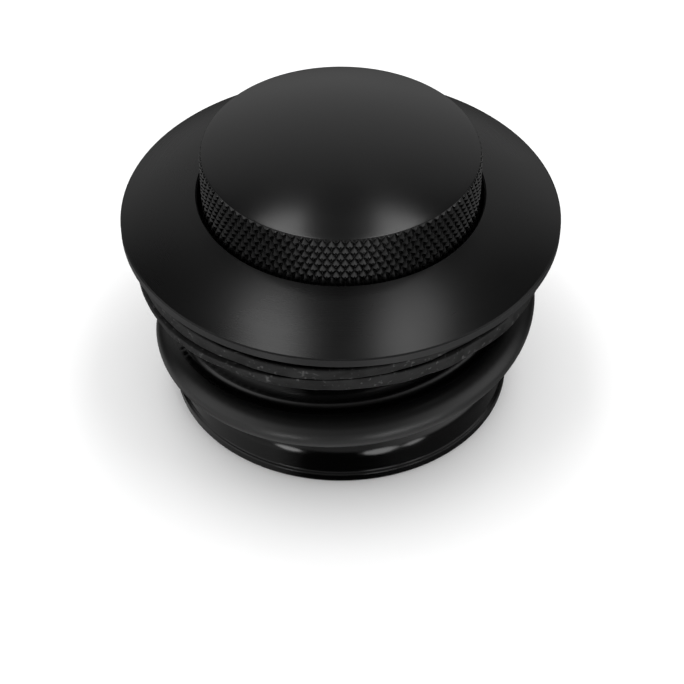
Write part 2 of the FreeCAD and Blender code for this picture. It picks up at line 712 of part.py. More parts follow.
def make_vent_poppet():
    """Poppet with a conical face; it opens downwards to let air in."""
    slope = (VENT_SEAT_Z - VENT_CHAMBER_TOP) / (VENT_CHAMBER_R - VENT_BORE_R)
    face_z = VENT_SEAT_Z - slope * (VENT_FACE_R - VENT_BORE_R) - SOFT_GAP
    rim_z = face_z - slope * (VENT_POPPET_R - VENT_FACE_R)
    outline = [
        (0.0, face_z),
        (VENT_FACE_R, face_z),
        (VENT_POPPET_R, rim_z),
        (VENT_POPPET_R, rim_z - VENT_POPPET_H),
        (VENT_GUIDE_R, rim_z - VENT_POPPET_H),
        (VENT_GUIDE_R, VENT_GUIDE_BOTTOM),
        (0.0, VENT_GUIDE_BOTTOM),
    ]
    return at_vent(turned(outline))


def vent_spring_top():
    slope = (VENT_SEAT_Z - VENT_CHAMBER_TOP) / (VENT_CHAMBER_R - VENT_BORE_R)
    return VENT_SEAT_Z - SOFT_GAP - slope * (VENT_POPPET_R - VENT_BORE_R) - VENT_POPPET_H


def make_vent_spring():
    low = VENT_BODY_BOTTOM + VENT_CAP_H
    spring = coil(VENT_SPRING_R, VENT_SPRING_WIRE, low, vent_spring_top(), VENT_SPRING_TURNS)
    return at_vent(spring)


def make_vent_cap():
    """Pressed disc that holds the vent spring."""
    top = VENT_BODY_BOTTOM + VENT_CAP_H
    disc = rod(VENT_CHAMBER_R, VENT_BODY_BOTTOM, top)
    return at_vent(disc.cut(rod(VENT_CAP_HOLE_R, VENT_BODY_BOTTOM, top)))


def make_vent_filter():
    """Sintered disc over the vent passage."""
    return at_vent(rod(FILTER_R - SOFT_GAP, FLOOR_TOP - FILTER_H, FLOOR_TOP))


# ---------------------------------------------------------------- bottom cover
def make_bottom_cover():
    body = rod(COVER_R - LOOSE_FIT, BOTTOM, COVER_TOP)
    for x, y in ring_places(COVER_SCREW_PITCH_R, COVER_SCREW_COUNT):
        body = body.cut(countersink(BOTTOM, COVER_SCREW_LENGTH, x, y, 1))
    for x, y in ring_places(COVER_VENT_PITCH_R, COVER_VENT_COUNT, COVER_VENT_FIRST_DEG):
        body = body.cut(rod(COVER_VENT_R, BOTTOM, COVER_TOP, x, y))
    inner = COVER_SEAL_R - COVER_SEAL_GROOVE_HALF
    outer = COVER_SEAL_R + COVER_SEAL_GROOVE_HALF
    low = COVER_TOP - COVER_SEAL_GROOVE_DEPTH
    groove = rod(outer, low, COVER_TOP).cut(rod(inner, low, COVER_TOP))
    return body.cut(groove)


def make_cover_screws():
    screws = []
    for x, y in ring_places(COVER_SCREW_PITCH_R, COVER_SCREW_COUNT):
        screws.append(countersunk_screw(BOTTOM, COVER_SCREW_LENGTH, x, y, 1))
    return Part.makeCompound(screws)


def make_cover_o_ring():
    z = COVER_TOP - COVER_SEAL_WIRE - SOFT_GAP
    return o_ring(COVER_SEAL_R, COVER_SEAL_WIRE, z)


# ---------------------------------------------------------------- write every sub-part
PARTS = {
    "bezel": make_bezel,
    "bezel_screws": make_bezel_screws,
    "bezel_o_ring": make_bezel_o_ring,
    "plug": make_plug,
    "neck_gasket": make_neck_gasket,
    "latch_turret": make_latch_turret,
    "turret_o_ring": make_turret_o_ring,
    "stem_o_ring": make_stem_o_ring,
    "guide_bushes": make_guide_bushes,
    "latch_follower": make_latch_follower,
    "follower_pivot": make_follower_pivot,
    "knob": make_knob,
    "drive_pins": make_drive_pins,
    "stem": make_stem,
    "stem_screw": make_stem_screw,
    "stop_washer": make_stop_washer,
    "retaining_ring": make_retaining_ring,
    "pop_spring": make_pop_spring,
    "vent_body": make_vent_body,
    "vent_poppet": make_vent_poppet,
    "vent_spring": make_vent_spring,
    "vent_cap": make_vent_cap,
    "vent_filter": make_vent_filter,
    "bottom_cover": make_bottom_cover,
    "cover_screws": make_cover_screws,
    "cover_o_ring": make_cover_o_ring,
}

os.makedirs("parts", exist_ok=True)
for name, make in PARTS.items():
    shape = make()
    shape.exportStep("parts/" + name + ".step")
    print(name, shape.isValid(), len(shape.Solids), round(shape.Volume, 1))
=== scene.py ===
"""Looks of the pop-up filler cap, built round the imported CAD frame."""
import json
import math

import bmesh
import bpy
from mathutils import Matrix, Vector, noise
from mathutils.geometry import delaunay_2d_cdt


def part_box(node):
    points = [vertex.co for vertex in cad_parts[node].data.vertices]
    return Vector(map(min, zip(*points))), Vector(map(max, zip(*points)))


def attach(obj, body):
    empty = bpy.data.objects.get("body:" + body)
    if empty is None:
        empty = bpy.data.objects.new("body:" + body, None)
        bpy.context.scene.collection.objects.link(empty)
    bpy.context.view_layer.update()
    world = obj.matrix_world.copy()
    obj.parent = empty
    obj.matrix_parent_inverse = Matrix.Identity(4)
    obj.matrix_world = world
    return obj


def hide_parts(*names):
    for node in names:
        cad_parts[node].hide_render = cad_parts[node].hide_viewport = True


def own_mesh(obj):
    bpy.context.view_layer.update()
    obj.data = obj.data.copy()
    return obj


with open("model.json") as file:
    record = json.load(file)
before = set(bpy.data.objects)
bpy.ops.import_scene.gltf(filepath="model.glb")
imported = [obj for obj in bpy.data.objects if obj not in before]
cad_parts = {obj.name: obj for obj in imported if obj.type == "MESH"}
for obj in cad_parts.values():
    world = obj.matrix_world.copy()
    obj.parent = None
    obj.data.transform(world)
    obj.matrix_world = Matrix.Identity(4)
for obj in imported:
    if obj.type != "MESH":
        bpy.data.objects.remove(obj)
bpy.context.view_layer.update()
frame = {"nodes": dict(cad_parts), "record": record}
NODES = frame["nodes"]
RECORD = frame["record"]

# ------------------------------------------------------------------ sizes from the frame
MM = 0.001
FLANGE_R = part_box("bezel")[1].x
RIM_TOP = 9.2 * MM
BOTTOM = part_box("plug")[0].z
KNOB_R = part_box("knob")[1].x
KNOB_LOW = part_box("knob")[0].z
KNOB_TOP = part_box("knob")[1].z
SEAT_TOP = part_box("neck_gasket")[1].z
GASKET_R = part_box("neck_gasket")[1].x
SPIGOT_R = 31.6 * MM


# ------------------------------------------------------------------ mesh helpers
def add_ring(bm, points):
    return [bm.verts.new(p) for p in points]


def join_rings(bm, first, second):
    """Quads between two rings of equal length."""
    count = len(first)
    for i in range(count):
        k = (i + 1) % count
        bm.faces.new((first[i], first[k], second[k], second[i]))


def close_ring(bm, ring, centre):
    """Fan of triangles from a ring to one point."""
    tip = bm.verts.new(centre)
    count = len(ring)
    for i in range(count):
        bm.faces.new((ring[i], ring[(i + 1) % count], tip))


def circle(radius, height, count, x=0.0, y=0.0):
    points = []
    for i in range(count):
        t = 2 * math.pi * i / count
        points.append((x + radius * math.cos(t), y + radius * math.sin(t), height))
    return points


def as_piece(bm, name, body, nodes, sharp_deg):
    """Turns a bmesh into a piece that rides on a body and stands for CAD nodes."""
    bmesh.ops.recalc_face_normals(bm, faces=bm.faces)
    mesh = bpy.data.meshes.new(name)
    bm.to_mesh(mesh)
    bm.free()
    for face in mesh.polygons:
        face.use_smooth = True
    mesh.set_sharp_from_angle(angle=math.radians(sharp_deg))
    piece = bpy.data.objects.new(name, mesh)
    bpy.context.scene.collection.objects.link(piece)
    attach(piece, body)
    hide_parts(*nodes)
    return piece


# ------------------------------------------------------------------ knurled knob
KNURL_STARTS = 100
KNURL_SUB = 8                       # mesh steps in one diamond, each way
KNURL_H = 2.7 * MM                  # height of one diamond
KNURL_DEPTH = 0.5 * MM
KNURL_FLAT = 0.75                   # the diamonds' points are cut off at this share
CHAMFER_H = 0.7 * MM
CHAMFER_W = 0.4 * MM
DOME_RISE = 3.5 * MM
EDGE_ROUND = 0.3 * MM
KNOB_WALL = 2.3 * MM
KNOB_CEILING = 20.3 * MM
FOOT_STEP = 0.1 * MM                # the foot is this much smaller than the dome's edge
EDGE_STEPS = 6
DOME_RINGS = 22
# A boss is its outer radius, its low end, its bore's radius and its bore's top.
STEM_BOSS = (8.0 * MM, 18.0 * MM, 2.05 * MM, 20.5 * MM)
PIN_BOSS = (2.9 * MM, 13.0 * MM, 2.05 * MM, 19.7 * MM)
BOSS_STEPS = 64
PIN_PITCH_R = 18.8 * MM
PIN_COUNT = 3
TOUCHING = 1e-7                     # corners nearer than this, in mm, are one corner
IN_BOSS = 0.999                     # share of a boss's radius that counts as inside it
KNOB_SHARP_DEG = 24


def nearest_groove(a):
    """Steps from a whole diamond to its nearest groove."""
    part = a % KNURL_SUB
    return min(part, KNURL_SUB - part)


def knurl_radius(column, row, z):
    """Radius of the knurled side at a mesh point, within the chamfer at its top."""
    near = min(nearest_groove(column + row), nearest_groove(column - row))
    share = min(near / (KNURL_SUB / 2), KNURL_FLAT) / KNURL_FLAT
    radius = KNOB_R - KNURL_DEPTH * (1 - share)
    above = max(0.0, z - (KNOB_TOP - DOME_RISE - CHAMFER_H)) / CHAMFER_H
    return min(radius, KNOB_R - CHAMFER_W * above)


def knurled_wall(bm, z_top):
    """Rows of the knurled side from the chamfer's top to the bottom. Each small quad is
    split along the groove next to it, so the grooves and the diamonds' faces are straight."""
    columns = KNURL_STARTS * KNURL_SUB
    step = KNURL_H / KNURL_SUB
    rows = int((z_top - KNOB_LOW) / step)
    rings = []
    for row in range(rows + 1):
        z = z_top - row * step
        points = []
        for column in range(columns):
            t = 2 * math.pi * column / columns
            r = knurl_radius(column, row, z) if row else KNOB_R - CHAMFER_W
            points.append((r * math.cos(t), r * math.sin(t), z))
        rings.append(add_ring(bm, points))
    for row in range(rows):
        for i in range(columns):
            k = (i + 1) % columns
            a, b = rings[row][i], rings[row][k]
            c, d = rings[row + 1][k], rings[row + 1][i]
            if nearest_groove(i + row + 1) < nearest_groove(i - row):
                bm.faces.new((a, b, d))
                bm.faces.new((b, c, d))
            else:
                bm.faces.new((a, b, c))
                bm.faces.new((a, c, d))
    return rings[0], rings[-1]


def dome_profile():
    """(radius, height) points of the rounded edge and the dome, from the edge to the middle."""
    edge_r = KNOB_R - CHAMFER_W
    edge_z = KNOB_TOP - DOME_RISE
    sphere = (edge_r ** 2 + DOME_RISE ** 2) / (2 * DOME_RISE)
    start_normal = math.atan2(CHAMFER_W, CHAMFER_H)
    end_normal = math.pi / 2 - math.asin(edge_r / sphere)
    tangent = EDGE_ROUND * math.tan((end_normal - start_normal) / 2)
    inner_r = edge_r - tangent * math.sin(end_normal)
    profile = []
    centre_r = inner_r - EDGE_ROUND * math.cos(end_normal)
    centre_z = edge_z + tangent * math.cos(end_normal) - EDGE_ROUND * math.sin(end_normal)
    for i in range(EDGE_STEPS + 1):
        a = start_normal + (end_normal - start_normal) * i / EDGE_STEPS
        profile.append((centre_r + EDGE_ROUND * math.cos(a), centre_z + EDGE_ROUND * math.sin(a)))
    for i in range(1, DOME_RINGS):
        r = inner_r * (1 - i / DOME_RINGS)
        profile.append((r, KNOB_TOP - sphere + math.sqrt(sphere ** 2 - r ** 2)))
    return profile


def add_boss(bm, ring, boss, x, y):
    """Boss below the ceiling, with a blind bore."""
    outer_r, low, bore_r, bore_top = boss
    count = len(ring)
    foot = add_ring(bm, circle(outer_r, low, count, x, y))
    mouth = add_ring(bm, circle(bore_r, low, count, x, y))
    end = add_ring(bm, circle(bore_r, bore_top, count, x, y))
    join_rings(bm, ring, foot)
    join_rings(bm, foot, mouth)
    join_rings(bm, mouth, end)
    close_ring(bm, end, (x, y, bore_top))


def add_ceiling(bm, outer):
    """Flat ceiling of the cup, with an opening where each boss stands."""
    places = [(0.0, 0.0, STEM_BOSS)]
    for i in range(PIN_COUNT):
        t = 2 * math.pi * i / PIN_COUNT
        places.append((PIN_PITCH_R * math.cos(t), PIN_PITCH_R * math.sin(t), PIN_BOSS))
    rings = [outer]
    for x, y, boss in places:
        rings.append(add_ring(bm, circle(boss[0], KNOB_CEILING, BOSS_STEPS, x, y)))
    corners = []
    edges = []
    for ring in rings:
        first = len(corners)
        count = len(ring)
        corners.extend(ring)
        edges.extend((first + i, first + (i + 1) % count) for i in range(count))
    flat = [Vector((v.co.x, v.co.y)) / MM for v in corners]
    triangles = delaunay_2d_cdt(flat, edges, [], 0, TOUCHING)[2]
    for triangle in triangles:
        middle = sum((flat[i] for i in triangle), Vector((0, 0))) / 3
        inside = middle.length < KNOB_R / MM
        for x, y, boss in places:
            inside = inside and (middle - Vector((x, y)) / MM).length > boss[0] / MM * IN_BOSS
        if inside:
            bm.faces.new([corners[i] for i in triangle])
    for ring, (x, y, boss) in zip(rings[1:], places):
        add_boss(bm, ring, boss, x, y)


def make_knob():
    bm = bmesh.new()
    profile = dome_profile()
    top, bottom = knurled_wall(bm, profile[0][1])
    columns = len(top)
    ring = top
    for r, z in profile[1:]:
        following = add_ring(bm, circle(r, z, columns))
        join_rings(bm, ring, following)
        ring = following
    close_ring(bm, ring, (0, 0, KNOB_TOP))
    foot = add_ring(bm, circle(KNOB_R - CHAMFER_W - FOOT_STEP, KNOB_LOW, columns))
    inner_r = KNOB_R - KNOB_WALL
    mouth = add_ring(bm, circle(inner_r, KNOB_LOW, columns))
    upper = add_ring(bm, circle(inner_r, KNOB_CEILING, columns))
    join_rings(bm, bottom, foot)
    join_rings(bm, foot, mouth)
    join_rings(bm, mouth, upper)
    add_ceiling(bm, upper)
    return as_piece(bm, "knurled_knob", "knob_body", ["knob"], KNOB_SHARP_DEG)


# ------------------------------------------------------------------ two-lip gasket
GASKET_IN_R = 31.05 * MM
PLUG_FLANGE_R = 36.8 * MM
TILT_TOP = 1.4 * MM                 # the rubber ring sits askew, higher to the right
TILT_GROOVE = 2.4 * MM
TILT_BOTTOM = 1.5 * MM
GROOVE_Z = 2.4 * MM
BOTTOM_Z = -0.4 * MM
WAVE = 0.3 * MM                     # long and short unevenness of the rubber
WAVES = 3.1
RIPPLE = 0.12 * MM
RIPPLES = 9.0
LOW_WAVE = 1.6                      # the lower edge waves more than the upper one
UNDER_GAP = 0.03 * MM               # kept free under the plug's flange
CREASE_R = PLUG_FLANGE_R + 0.12 * MM
RIM_IN_R = PLUG_FLANGE_R + 0.2 * MM
RIM_IN_LOW_R = PLUG_FLANGE_R + 0.1 * MM
RIM_DROP = 0.1 * MM
INSIDE_DROP = 0.2 * MM              # the ring's inside is this much thinner at each end
LIP_LOW_ROUND = 0.75 * MM
LIP_FOLD = 0.3 * MM
LIP_TOP_ROUND = 0.4 * MM
LIP_SETBACK = 0.3 * MM              # the upper lip stands back where the lips part
MOUTH_FRONT = 0.04 * MM             # half the gap between the lips, at the front
MOUTH_LEFT = 0.38 * MM              # what it widens by to the left and to the right
MOUTH_RIGHT = 0.26 * MM
PART_FROM = 0.2                     # the lips part over this stretch, as the angle's sine
PART_OVER = 0.3
GASKET_STATIONS = 540
GASKET_SHARP_DEG = 50


def quarter_round(reach, height, size, start_deg, steps):
    """Points of a rounded corner that reaches out to a radius, with its centre at a height."""
    points = []
    for i in range(steps + 1):
        a = math.radians(start_deg + 90 * i / steps)
        points.append((reach - size + size * math.cos(a), height + size * math.sin(a)))
    return points


def gasket_section(angle):
    """(radius, height) outline of the ring at an angle from the front, positive to the right."""
    side = math.sin(angle)
    around = Vector((math.sin(angle), math.cos(angle), 0))
    wave = noise.noise(around * WAVES) * WAVE
    ripple = noise.noise(around * RIPPLES) * RIPPLE
    top = SEAT_TOP + TILT_TOP * side + wave + ripple
    groove = GROOVE_Z + TILT_GROOVE * side + wave
    low = BOTTOM_Z + TILT_BOTTOM * side + LOW_WAVE * wave - ripple
    parted = min(1.0, max(0.0, (abs(side) - PART_FROM) / PART_OVER))
    mouth = MOUTH_FRONT + (MOUTH_RIGHT if side > 0 else MOUTH_LEFT) * parted
    swell = GASKET_R + ripple
    crown = GASKET_R - LIP_SETBACK * parted - ripple
    inside_top = min(top - INSIDE_DROP, SEAT_TOP - UNDER_GAP)
    outline = [(GASKET_IN_R, low + INSIDE_DROP)]
    outline += quarter_round(swell, low + LIP_LOW_ROUND, LIP_LOW_ROUND, -90, 6)
    outline += quarter_round(swell, groove - mouth - LIP_FOLD, LIP_FOLD, 0, 3)
    outline.append((CREASE_R, groove))
    outline += quarter_round(crown, groove + mouth + LIP_FOLD, LIP_FOLD, -90, 3)
    outline += quarter_round(crown, top - LIP_TOP_ROUND, LIP_TOP_ROUND, 0, 4)
    outline.append((RIM_IN_R, top - RIM_DROP))
    outline.append((RIM_IN_LOW_R, inside_top))
    outline.append((GASKET_IN_R, inside_top))
    return outline


def make_gasket():
    bm = bmesh.new()
    rings = []
    for i in range(GASKET_STATIONS):
        angle = 2 * math.pi * i / GASKET_STATIONS
        points = []
        for r, z in gasket_section(angle):
            points.append((r * math.sin(angle), -r * math.cos(angle), z))
        rings.append(add_ring(bm, points))
    for i in range(GASKET_STATIONS):
        join_rings(bm, rings[i], rings[(i + 1) % GASKET_STATIONS])
    nodes = ["neck_gasket"]
    return as_piece(bm, "rubber_gasket", "cap_body", nodes, GASKET_SHARP_DEG)


# ------------------------------------------------------------------ springs
POP_WIRE_R = 0.65 * MM
POP_TURNS = 8
VENT_WIRE_R = 0.18 * MM
VENT_TURNS = 6
CLOSED_PITCH = 2.1                  # rise of the closed end turns, in wire radii
COIL_STEPS = 40                     # mesh steps in one turn
WIRE_SIDES = 10
SPRING_SHARP_DEG = 60


def make_spring(node, wire, turns):
    """Round-wire coil in the space of a CAD spring."""
    low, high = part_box(node)
    centre = (low + high) / 2
    radius = (high.x - low.x) / 2 - wire
    close = CLOSED_PITCH * wire
    open_turns = turns - 2
    start = low.z + wire
    rise = (high.z - low.z - 2 * wire - 2 * close) / open_turns
    bm = bmesh.new()
    rings = []
    for i in range(turns * COIL_STEPS + 1):
        turn = i / COIL_STEPS
        z = start + close * min(turn, 1.0) + rise * min(max(turn - 1.0, 0.0), open_turns)
        z += close * max(turn - 1.0 - open_turns, 0.0)
        t = 2 * math.pi * turn
        outward = Vector((math.cos(t), math.sin(t), 0))
        middle = Vector((centre.x, centre.y, z)) + outward * radius
        points = []
        for k in range(WIRE_SIDES):
            a = 2 * math.pi * k / WIRE_SIDES
            points.append(middle + wire * (outward * math.cos(a) + Vector((0, 0, math.sin(a)))))
        rings.append(add_ring(bm, points))
    for first, second in zip(rings, rings[1:]):
        join_rings(bm, first, second)
    bm.faces.new(rings[0])
    bm.faces.new(rings[-1])
    piece = as_piece(bm, "coil_" + node, "cap_body", [node], SPRING_SHARP_DEG)
    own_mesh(piece)
    return piece


# ------------------------------------------------------------------ material helpers
FLAT_DOT = 0.999                    # rounded and true surface directions agree: no edge
EDGE_DOT = 0.93                     # they differ this much right on an edge


class Look:
    """A material with a Principled shader, and short ways to add and join nodes."""

    def __init__(self, name, world_tree=None):
        tree = world_tree
        if not tree:
            self.material = bpy.data.materials.new(name)
            self.material.use_nodes = True
            tree = self.material.node_tree
            self.shader = tree.nodes["Principled BSDF"]
        self.nodes = tree.nodes
        self.links = tree.links
        coords = self.nodes.new("ShaderNodeTexCoord")
        self.place = coords.outputs["Generated" if world_tree else "Object"]
        parts = self.nodes.new("ShaderNodeSeparateXYZ")
        self.links.new(self.place, parts.inputs[0])
        self.x, self.y, self.z = parts.outputs

    def put(self, socket, value):
        """Joins a socket to another one, or gives it a plain value."""
        if isinstance(value, bpy.types.NodeSocket):
            self.links.new(value, socket)
        else:
            socket.default_value = value

    def set(self, **values):
        """Gives the shader's inputs their values; _ stands for a space in a name."""
        for key, value in values.items():
            self.put(self.shader.inputs[key.replace("_", " ")], value)

    def maths(self, operation, a, b=0.0):
        node = self.nodes.new("ShaderNodeMath")
        node.operation = operation
        self.put(node.inputs[0], a)
        self.put(node.inputs[1], b)
        return node.outputs[0]

    def vector(self, x, y, z):
        node = self.nodes.new("ShaderNodeCombineXYZ")
        self.put(node.inputs[0], x)
        self.put(node.inputs[1], y)
        self.put(node.inputs[2], z)
        return node.outputs[0]

    def grain(self, scale, detail=3.0, place=None):
        """Noise between 0 and 1; scale is in repeats per metre."""
        node = self.nodes.new("ShaderNodeTexNoise")
        self.put(node.inputs["Vector"], place or self.place)
        node.inputs["Scale"].default_value = scale
        node.inputs["Detail"].default_value = detail
        return node.outputs["Fac"]

    def cells(self, scale):
        """Distance to the middle of the nearest of many small cells."""
        node = self.nodes.new("ShaderNodeTexVoronoi")
        self.put(node.inputs["Vector"], self.place)
        node.inputs["Scale"].default_value = scale
        return node.outputs["Distance"]

    def between(self, value, low, high, out_low, out_high):
        """Maps a value from one range to another, without going past its ends."""
        node = self.nodes.new("ShaderNodeMapRange")
        self.put(node.inputs["Value"], value)
        node.inputs["From Min"].default_value = low
        node.inputs["From Max"].default_value = high
        self.put(node.inputs["To Min"], out_low)
        self.put(node.inputs["To Max"], out_high)
        return node.outputs["Result"]

    def blend(self, share, first, second):
        """Colour between two colours."""
        node = self.nodes.new("ShaderNodeMix")
        node.data_type = "RGBA"
        self.put(node.inputs["Factor"], share)
        self.put(node.inputs["A"], first)
        self.put(node.inputs["B"], second)
        return node.outputs["Result"]

    def bump(self, height, depth, below=None):
        """Bump of a given depth in metres, on top of another one."""
        node = self.nodes.new("ShaderNodeBump")
        node.inputs["Strength"].default_value = 1.0
        node.inputs["Distance"].default_value = depth
        self.put(node.inputs["Height"], height)
        if below:
            self.put(node.inputs["Normal"], below)
        return node.outputs["Normal"]

    def rounded(self, radius):
        """Surface direction with the edges smoothed over a radius."""
        bevel = self.nodes.new("ShaderNodeBevel")
        bevel.samples = 4
        bevel.inputs["Radius"].default_value = radius
        return bevel.outputs[0]

    def edge_wear(self, radius):
        """0 on flat faces, rising towards 1 on outer and inner edges."""
        geometry = self.nodes.new("ShaderNodeNewGeometry")
        dot = self.nodes.new("ShaderNodeVectorMath")
        dot.operation = "DOT_PRODUCT"
        self.links.new(self.rounded(radius), dot.inputs[0])
        self.links.new(geometry.outputs["Normal"], dot.inputs[1])
        return self.between(dot.outputs["Value"], FLAT_DOT, EDGE_DOT, 0.0, 1.0)

    def openness(self, distance):
        """1 on open faces, falling towards 0 in narrow grooves and gaps."""
        node = self.nodes.new("ShaderNodeAmbientOcclusion")
        node.samples = 8
        node.inputs["Distance"].default_value = distance
        return node.outputs["AO"]

    def facing_up(self):
        """Height of the surface's direction: 1 for a level face, 0 for an upright one."""
        geometry = self.nodes.new("ShaderNodeNewGeometry")
        parts = self.nodes.new("ShaderNodeSeparateXYZ")
        self.links.new(geometry.outputs["Normal"], parts.inputs[0])
        return parts.outputs[2]

    def radius(self):
        """Distance from the cap's axis."""
        square_x = self.maths("MULTIPLY", self.x, self.x)
        square_y = self.maths("MULTIPLY", self.y, self.y)
        return self.maths("SQRT", self.maths("ADD", square_x, square_y))

    def turned_grain(self, per_metre):
        """Fine lines that run round the axis, as a lathe tool leaves them."""
        return self.grain(per_metre, 2.0, self.vector(self.radius(), 0.0, self.z))

    def round_tangent(self):
        """Direction of the turning lines, for the stretched highlights."""
        node = self.nodes.new("ShaderNodeVectorMath")
        node.operation = "NORMALIZE"
        self.links.new(self.vector(self.maths("MULTIPLY", self.y, -1.0), self.x, 0.0), node.inputs[0])
        return node.outputs[0]


def grey(value, blue=1.0):
    return (value, value, value * blue, 1.0)


# ------------------------------------------------------------------ materials
MIDDLE = (0.3, 0.7)                 # the stretch of a noise that holds most of its values
LINE_DEPTH = 0.00005 * MM           # turning lines in the anodised parts
GRIT_DEPTH = 0.0005 * MM
STEEP = (0.75, 0.6)                 # facing_up() of a face, from level to steep
GROOVE_REACH = 1.2 * MM             # how far a groove in metal shades itself
LIP_REACH = 1.5 * MM                # and in rubber
PLUG_RAISED = (SPIGOT_R + 0.4 * MM, SPIGOT_R + 1.4 * MM)     # where the thread leaves the wall


def anodised(name, mirror, painted_side_grey, rough, side_rough, stretch):
    """Satin black anodised aluminium with fine turning lines. Level and steep faces have their own
    roughness.
    Steep faces also get a grey of their own, which is painted light: a painted sheen where it is
    lighter than the level faces, painted shade where it is darker. Narrow grooves don't shine:
    painted shade."""
    look = Look(name)
    lines = look.turned_grain(5200.0)
    cloud = look.grain(60.0, 4.0)
    wear = look.edge_wear(0.12 * MM)
    steep = look.between(look.facing_up(), *STEEP, 0.0, 1.0)
    base = look.blend(cloud, grey(0.0016, 1.03), grey(0.0024, 1.03))
    # Painted light: steep faces take their own grey, a painted sheen on the bezel's rim band and
    # painted shade on the knob's knurled sides.
    base = look.blend(steep, base, grey(painted_side_grey, 1.02))
    look.set(Base_Color=look.blend(look.maths("MULTIPLY", wear, 0.35), base, grey(0.06)))
    spread = look.between(lines, *MIDDLE, rough - 0.008, rough + 0.008)
    spread = look.maths("ADD", spread, look.between(cloud, *MIDDLE, -0.02, 0.02))
    look.set(Roughness=look.maths("ADD", spread, look.maths("MULTIPLY", steep, side_rough - rough)))
    # Painted shade: the mirror level falls to nothing in narrow grooves, read from ambient occlusion.
    open_share = look.between(look.openness(GROOVE_REACH), 0.5, 0.85, 0.0, mirror)
    look.set(Anisotropic=stretch, Anisotropic_Rotation=0.25)
    look.set(Tangent=look.round_tangent(), Specular_IOR_Level=open_share)
    fine = look.bump(look.grain(9000.0, 2.0), GRIT_DEPTH)
    look.set(Normal=look.bump(lines, LINE_DEPTH, fine))
    return look.material


def glossy_plug(name):
    """Glossy black plug: faint turning lines and a slight waviness. The thread is duller than
    the wall, and painted paler where it faces outwards or down: a painted sheen."""
    look = Look(name)
    lines = look.turned_grain(3000.0)
    cloud = look.grain(90.0, 3.0)
    raised = look.between(look.radius(), *PLUG_RAISED, 0.0, 1.0)
    # Painted sheen: the thread's outward and downward faces are painted a paler grey.
    painted_low_sheen = look.maths("MULTIPLY", raised, look.between(look.facing_up(), 0.4, 0.0, 0.0, 1.0))
    base = look.blend(raised, grey(0.0004), grey(0.002))
    base = look.blend(painted_low_sheen, base, grey(0.022))
    wear = look.maths("MULTIPLY", look.edge_wear(0.15 * MM), 0.15)
    look.set(Base_Color=look.blend(wear, base, grey(0.05)))
    gloss = look.between(raised, 0.0, 1.0, 0.11, 0.34)
    look.set(Roughness=look.maths("ADD", gloss, look.between(cloud, *MIDDLE, -0.02, 0.03)))
    wavy = look.bump(cloud, 0.01 * MM, look.rounded(0.5 * MM))
    look.set(Normal=look.bump(lines, 0.0006 * MM, wavy))
    return look.material


def moulded_rubber(name, speck_share, rough):
    """Black rubber with a dusty grain and small moulding specks, and painted shade in its grooves and
    gaps.
    """
    look = Look(name)
    grain = look.grain(2600.0, 6.0)
    patch = look.grain(420.0, 5.0)
    specks = look.between(look.grain(1300.0, 2.0), 0.62, 0.72, 0.0, speck_share)
    base = look.blend(look.between(patch, *MIDDLE, 0.0, 1.0), grey(0.005), grey(0.017))
    base = look.blend(specks, base, grey(0.12))
    # Painted shade: the rubber turns black and loses its shine in narrow grooves and gaps, read from
    # ambient occlusion.
    open_share = look.between(look.openness(LIP_REACH), 0.4, 0.8, 0.0, 1.0)
    look.set(Base_Color=look.blend(open_share, grey(0.0), base))
    look.set(Roughness=look.between(patch, *MIDDLE, rough - 0.07, rough + 0.07))
    rough_bump = look.bump(grain, 0.03 * MM)
    look.set(Normal=look.bump(specks, 0.05 * MM, rough_bump))
    look.set(Specular_IOR_Level=look.maths("MULTIPLY", open_share, 0.33))
    return look.material


def turned_metal(name, light, dark, rough, per_metre):
    """Bare turned or drawn metal."""
    look = Look(name)
    lines = look.turned_grain(per_metre)
    stain = look.grain(150.0, 5.0)
    look.set(Base_Color=look.blend(stain, light, dark))
    look.set(Metallic=1.0, Anisotropic=0.4, Anisotropic_Rotation=0.25)
    look.set(Tangent=look.round_tangent())
    look.set(Roughness=look.between(lines, *MIDDLE, rough - 0.06, rough + 0.08))
    look.set(Normal=look.bump(lines, 0.003 * MM))
    return look.material


def sintered_bronze(name):
    """Pressed bronze grains with open pores."""
    look = Look(name)
    pores = look.cells(3200.0)
    look.set(Base_Color=look.blend(pores, (0.16, 0.09, 0.04, 1), (0.55, 0.36, 0.18, 1)))
    look.set(Metallic=0.9, Roughness=look.between(pores, 0.1, 0.6, 0.7, 0.42))
    look.set(Normal=look.bump(pores, 0.06 * MM))
    return look.material


def machined_plastic(name):
    """Off-white bearing plastic with cutter lines."""
    look = Look(name)
    lines = look.turned_grain(2500.0)
    look.set(Base_Color=look.blend(look.grain(200.0), (0.62, 0.6, 0.54, 1), (0.72, 0.7, 0.65, 1)))
    look.set(Roughness=look.between(lines, *MIDDLE, 0.38, 0.5), Subsurface_Weight=0.1)
    look.set(Subsurface_Scale=0.5 * MM, Normal=look.bump(lines, 0.004 * MM))
    return look.material


def black_oxide(name):
    """Black screws: dark oxide, thinner on the edges."""
    look = Look(name)
    wear = look.maths("MULTIPLY", look.edge_wear(0.1 * MM), 0.6)
    base = look.blend(look.grain(900.0, 5.0), grey(0.02), grey(0.045))
    look.set(Base_Color=look.blend(wear, base, grey(0.3)), Metallic=0.85)
    look.set(Roughness=look.between(look.grain(1500.0), *MIDDLE, 0.36, 0.5))
    look.set(Normal=look.bump(look.grain(5000.0, 3.0), 0.004 * MM))
    return look.material


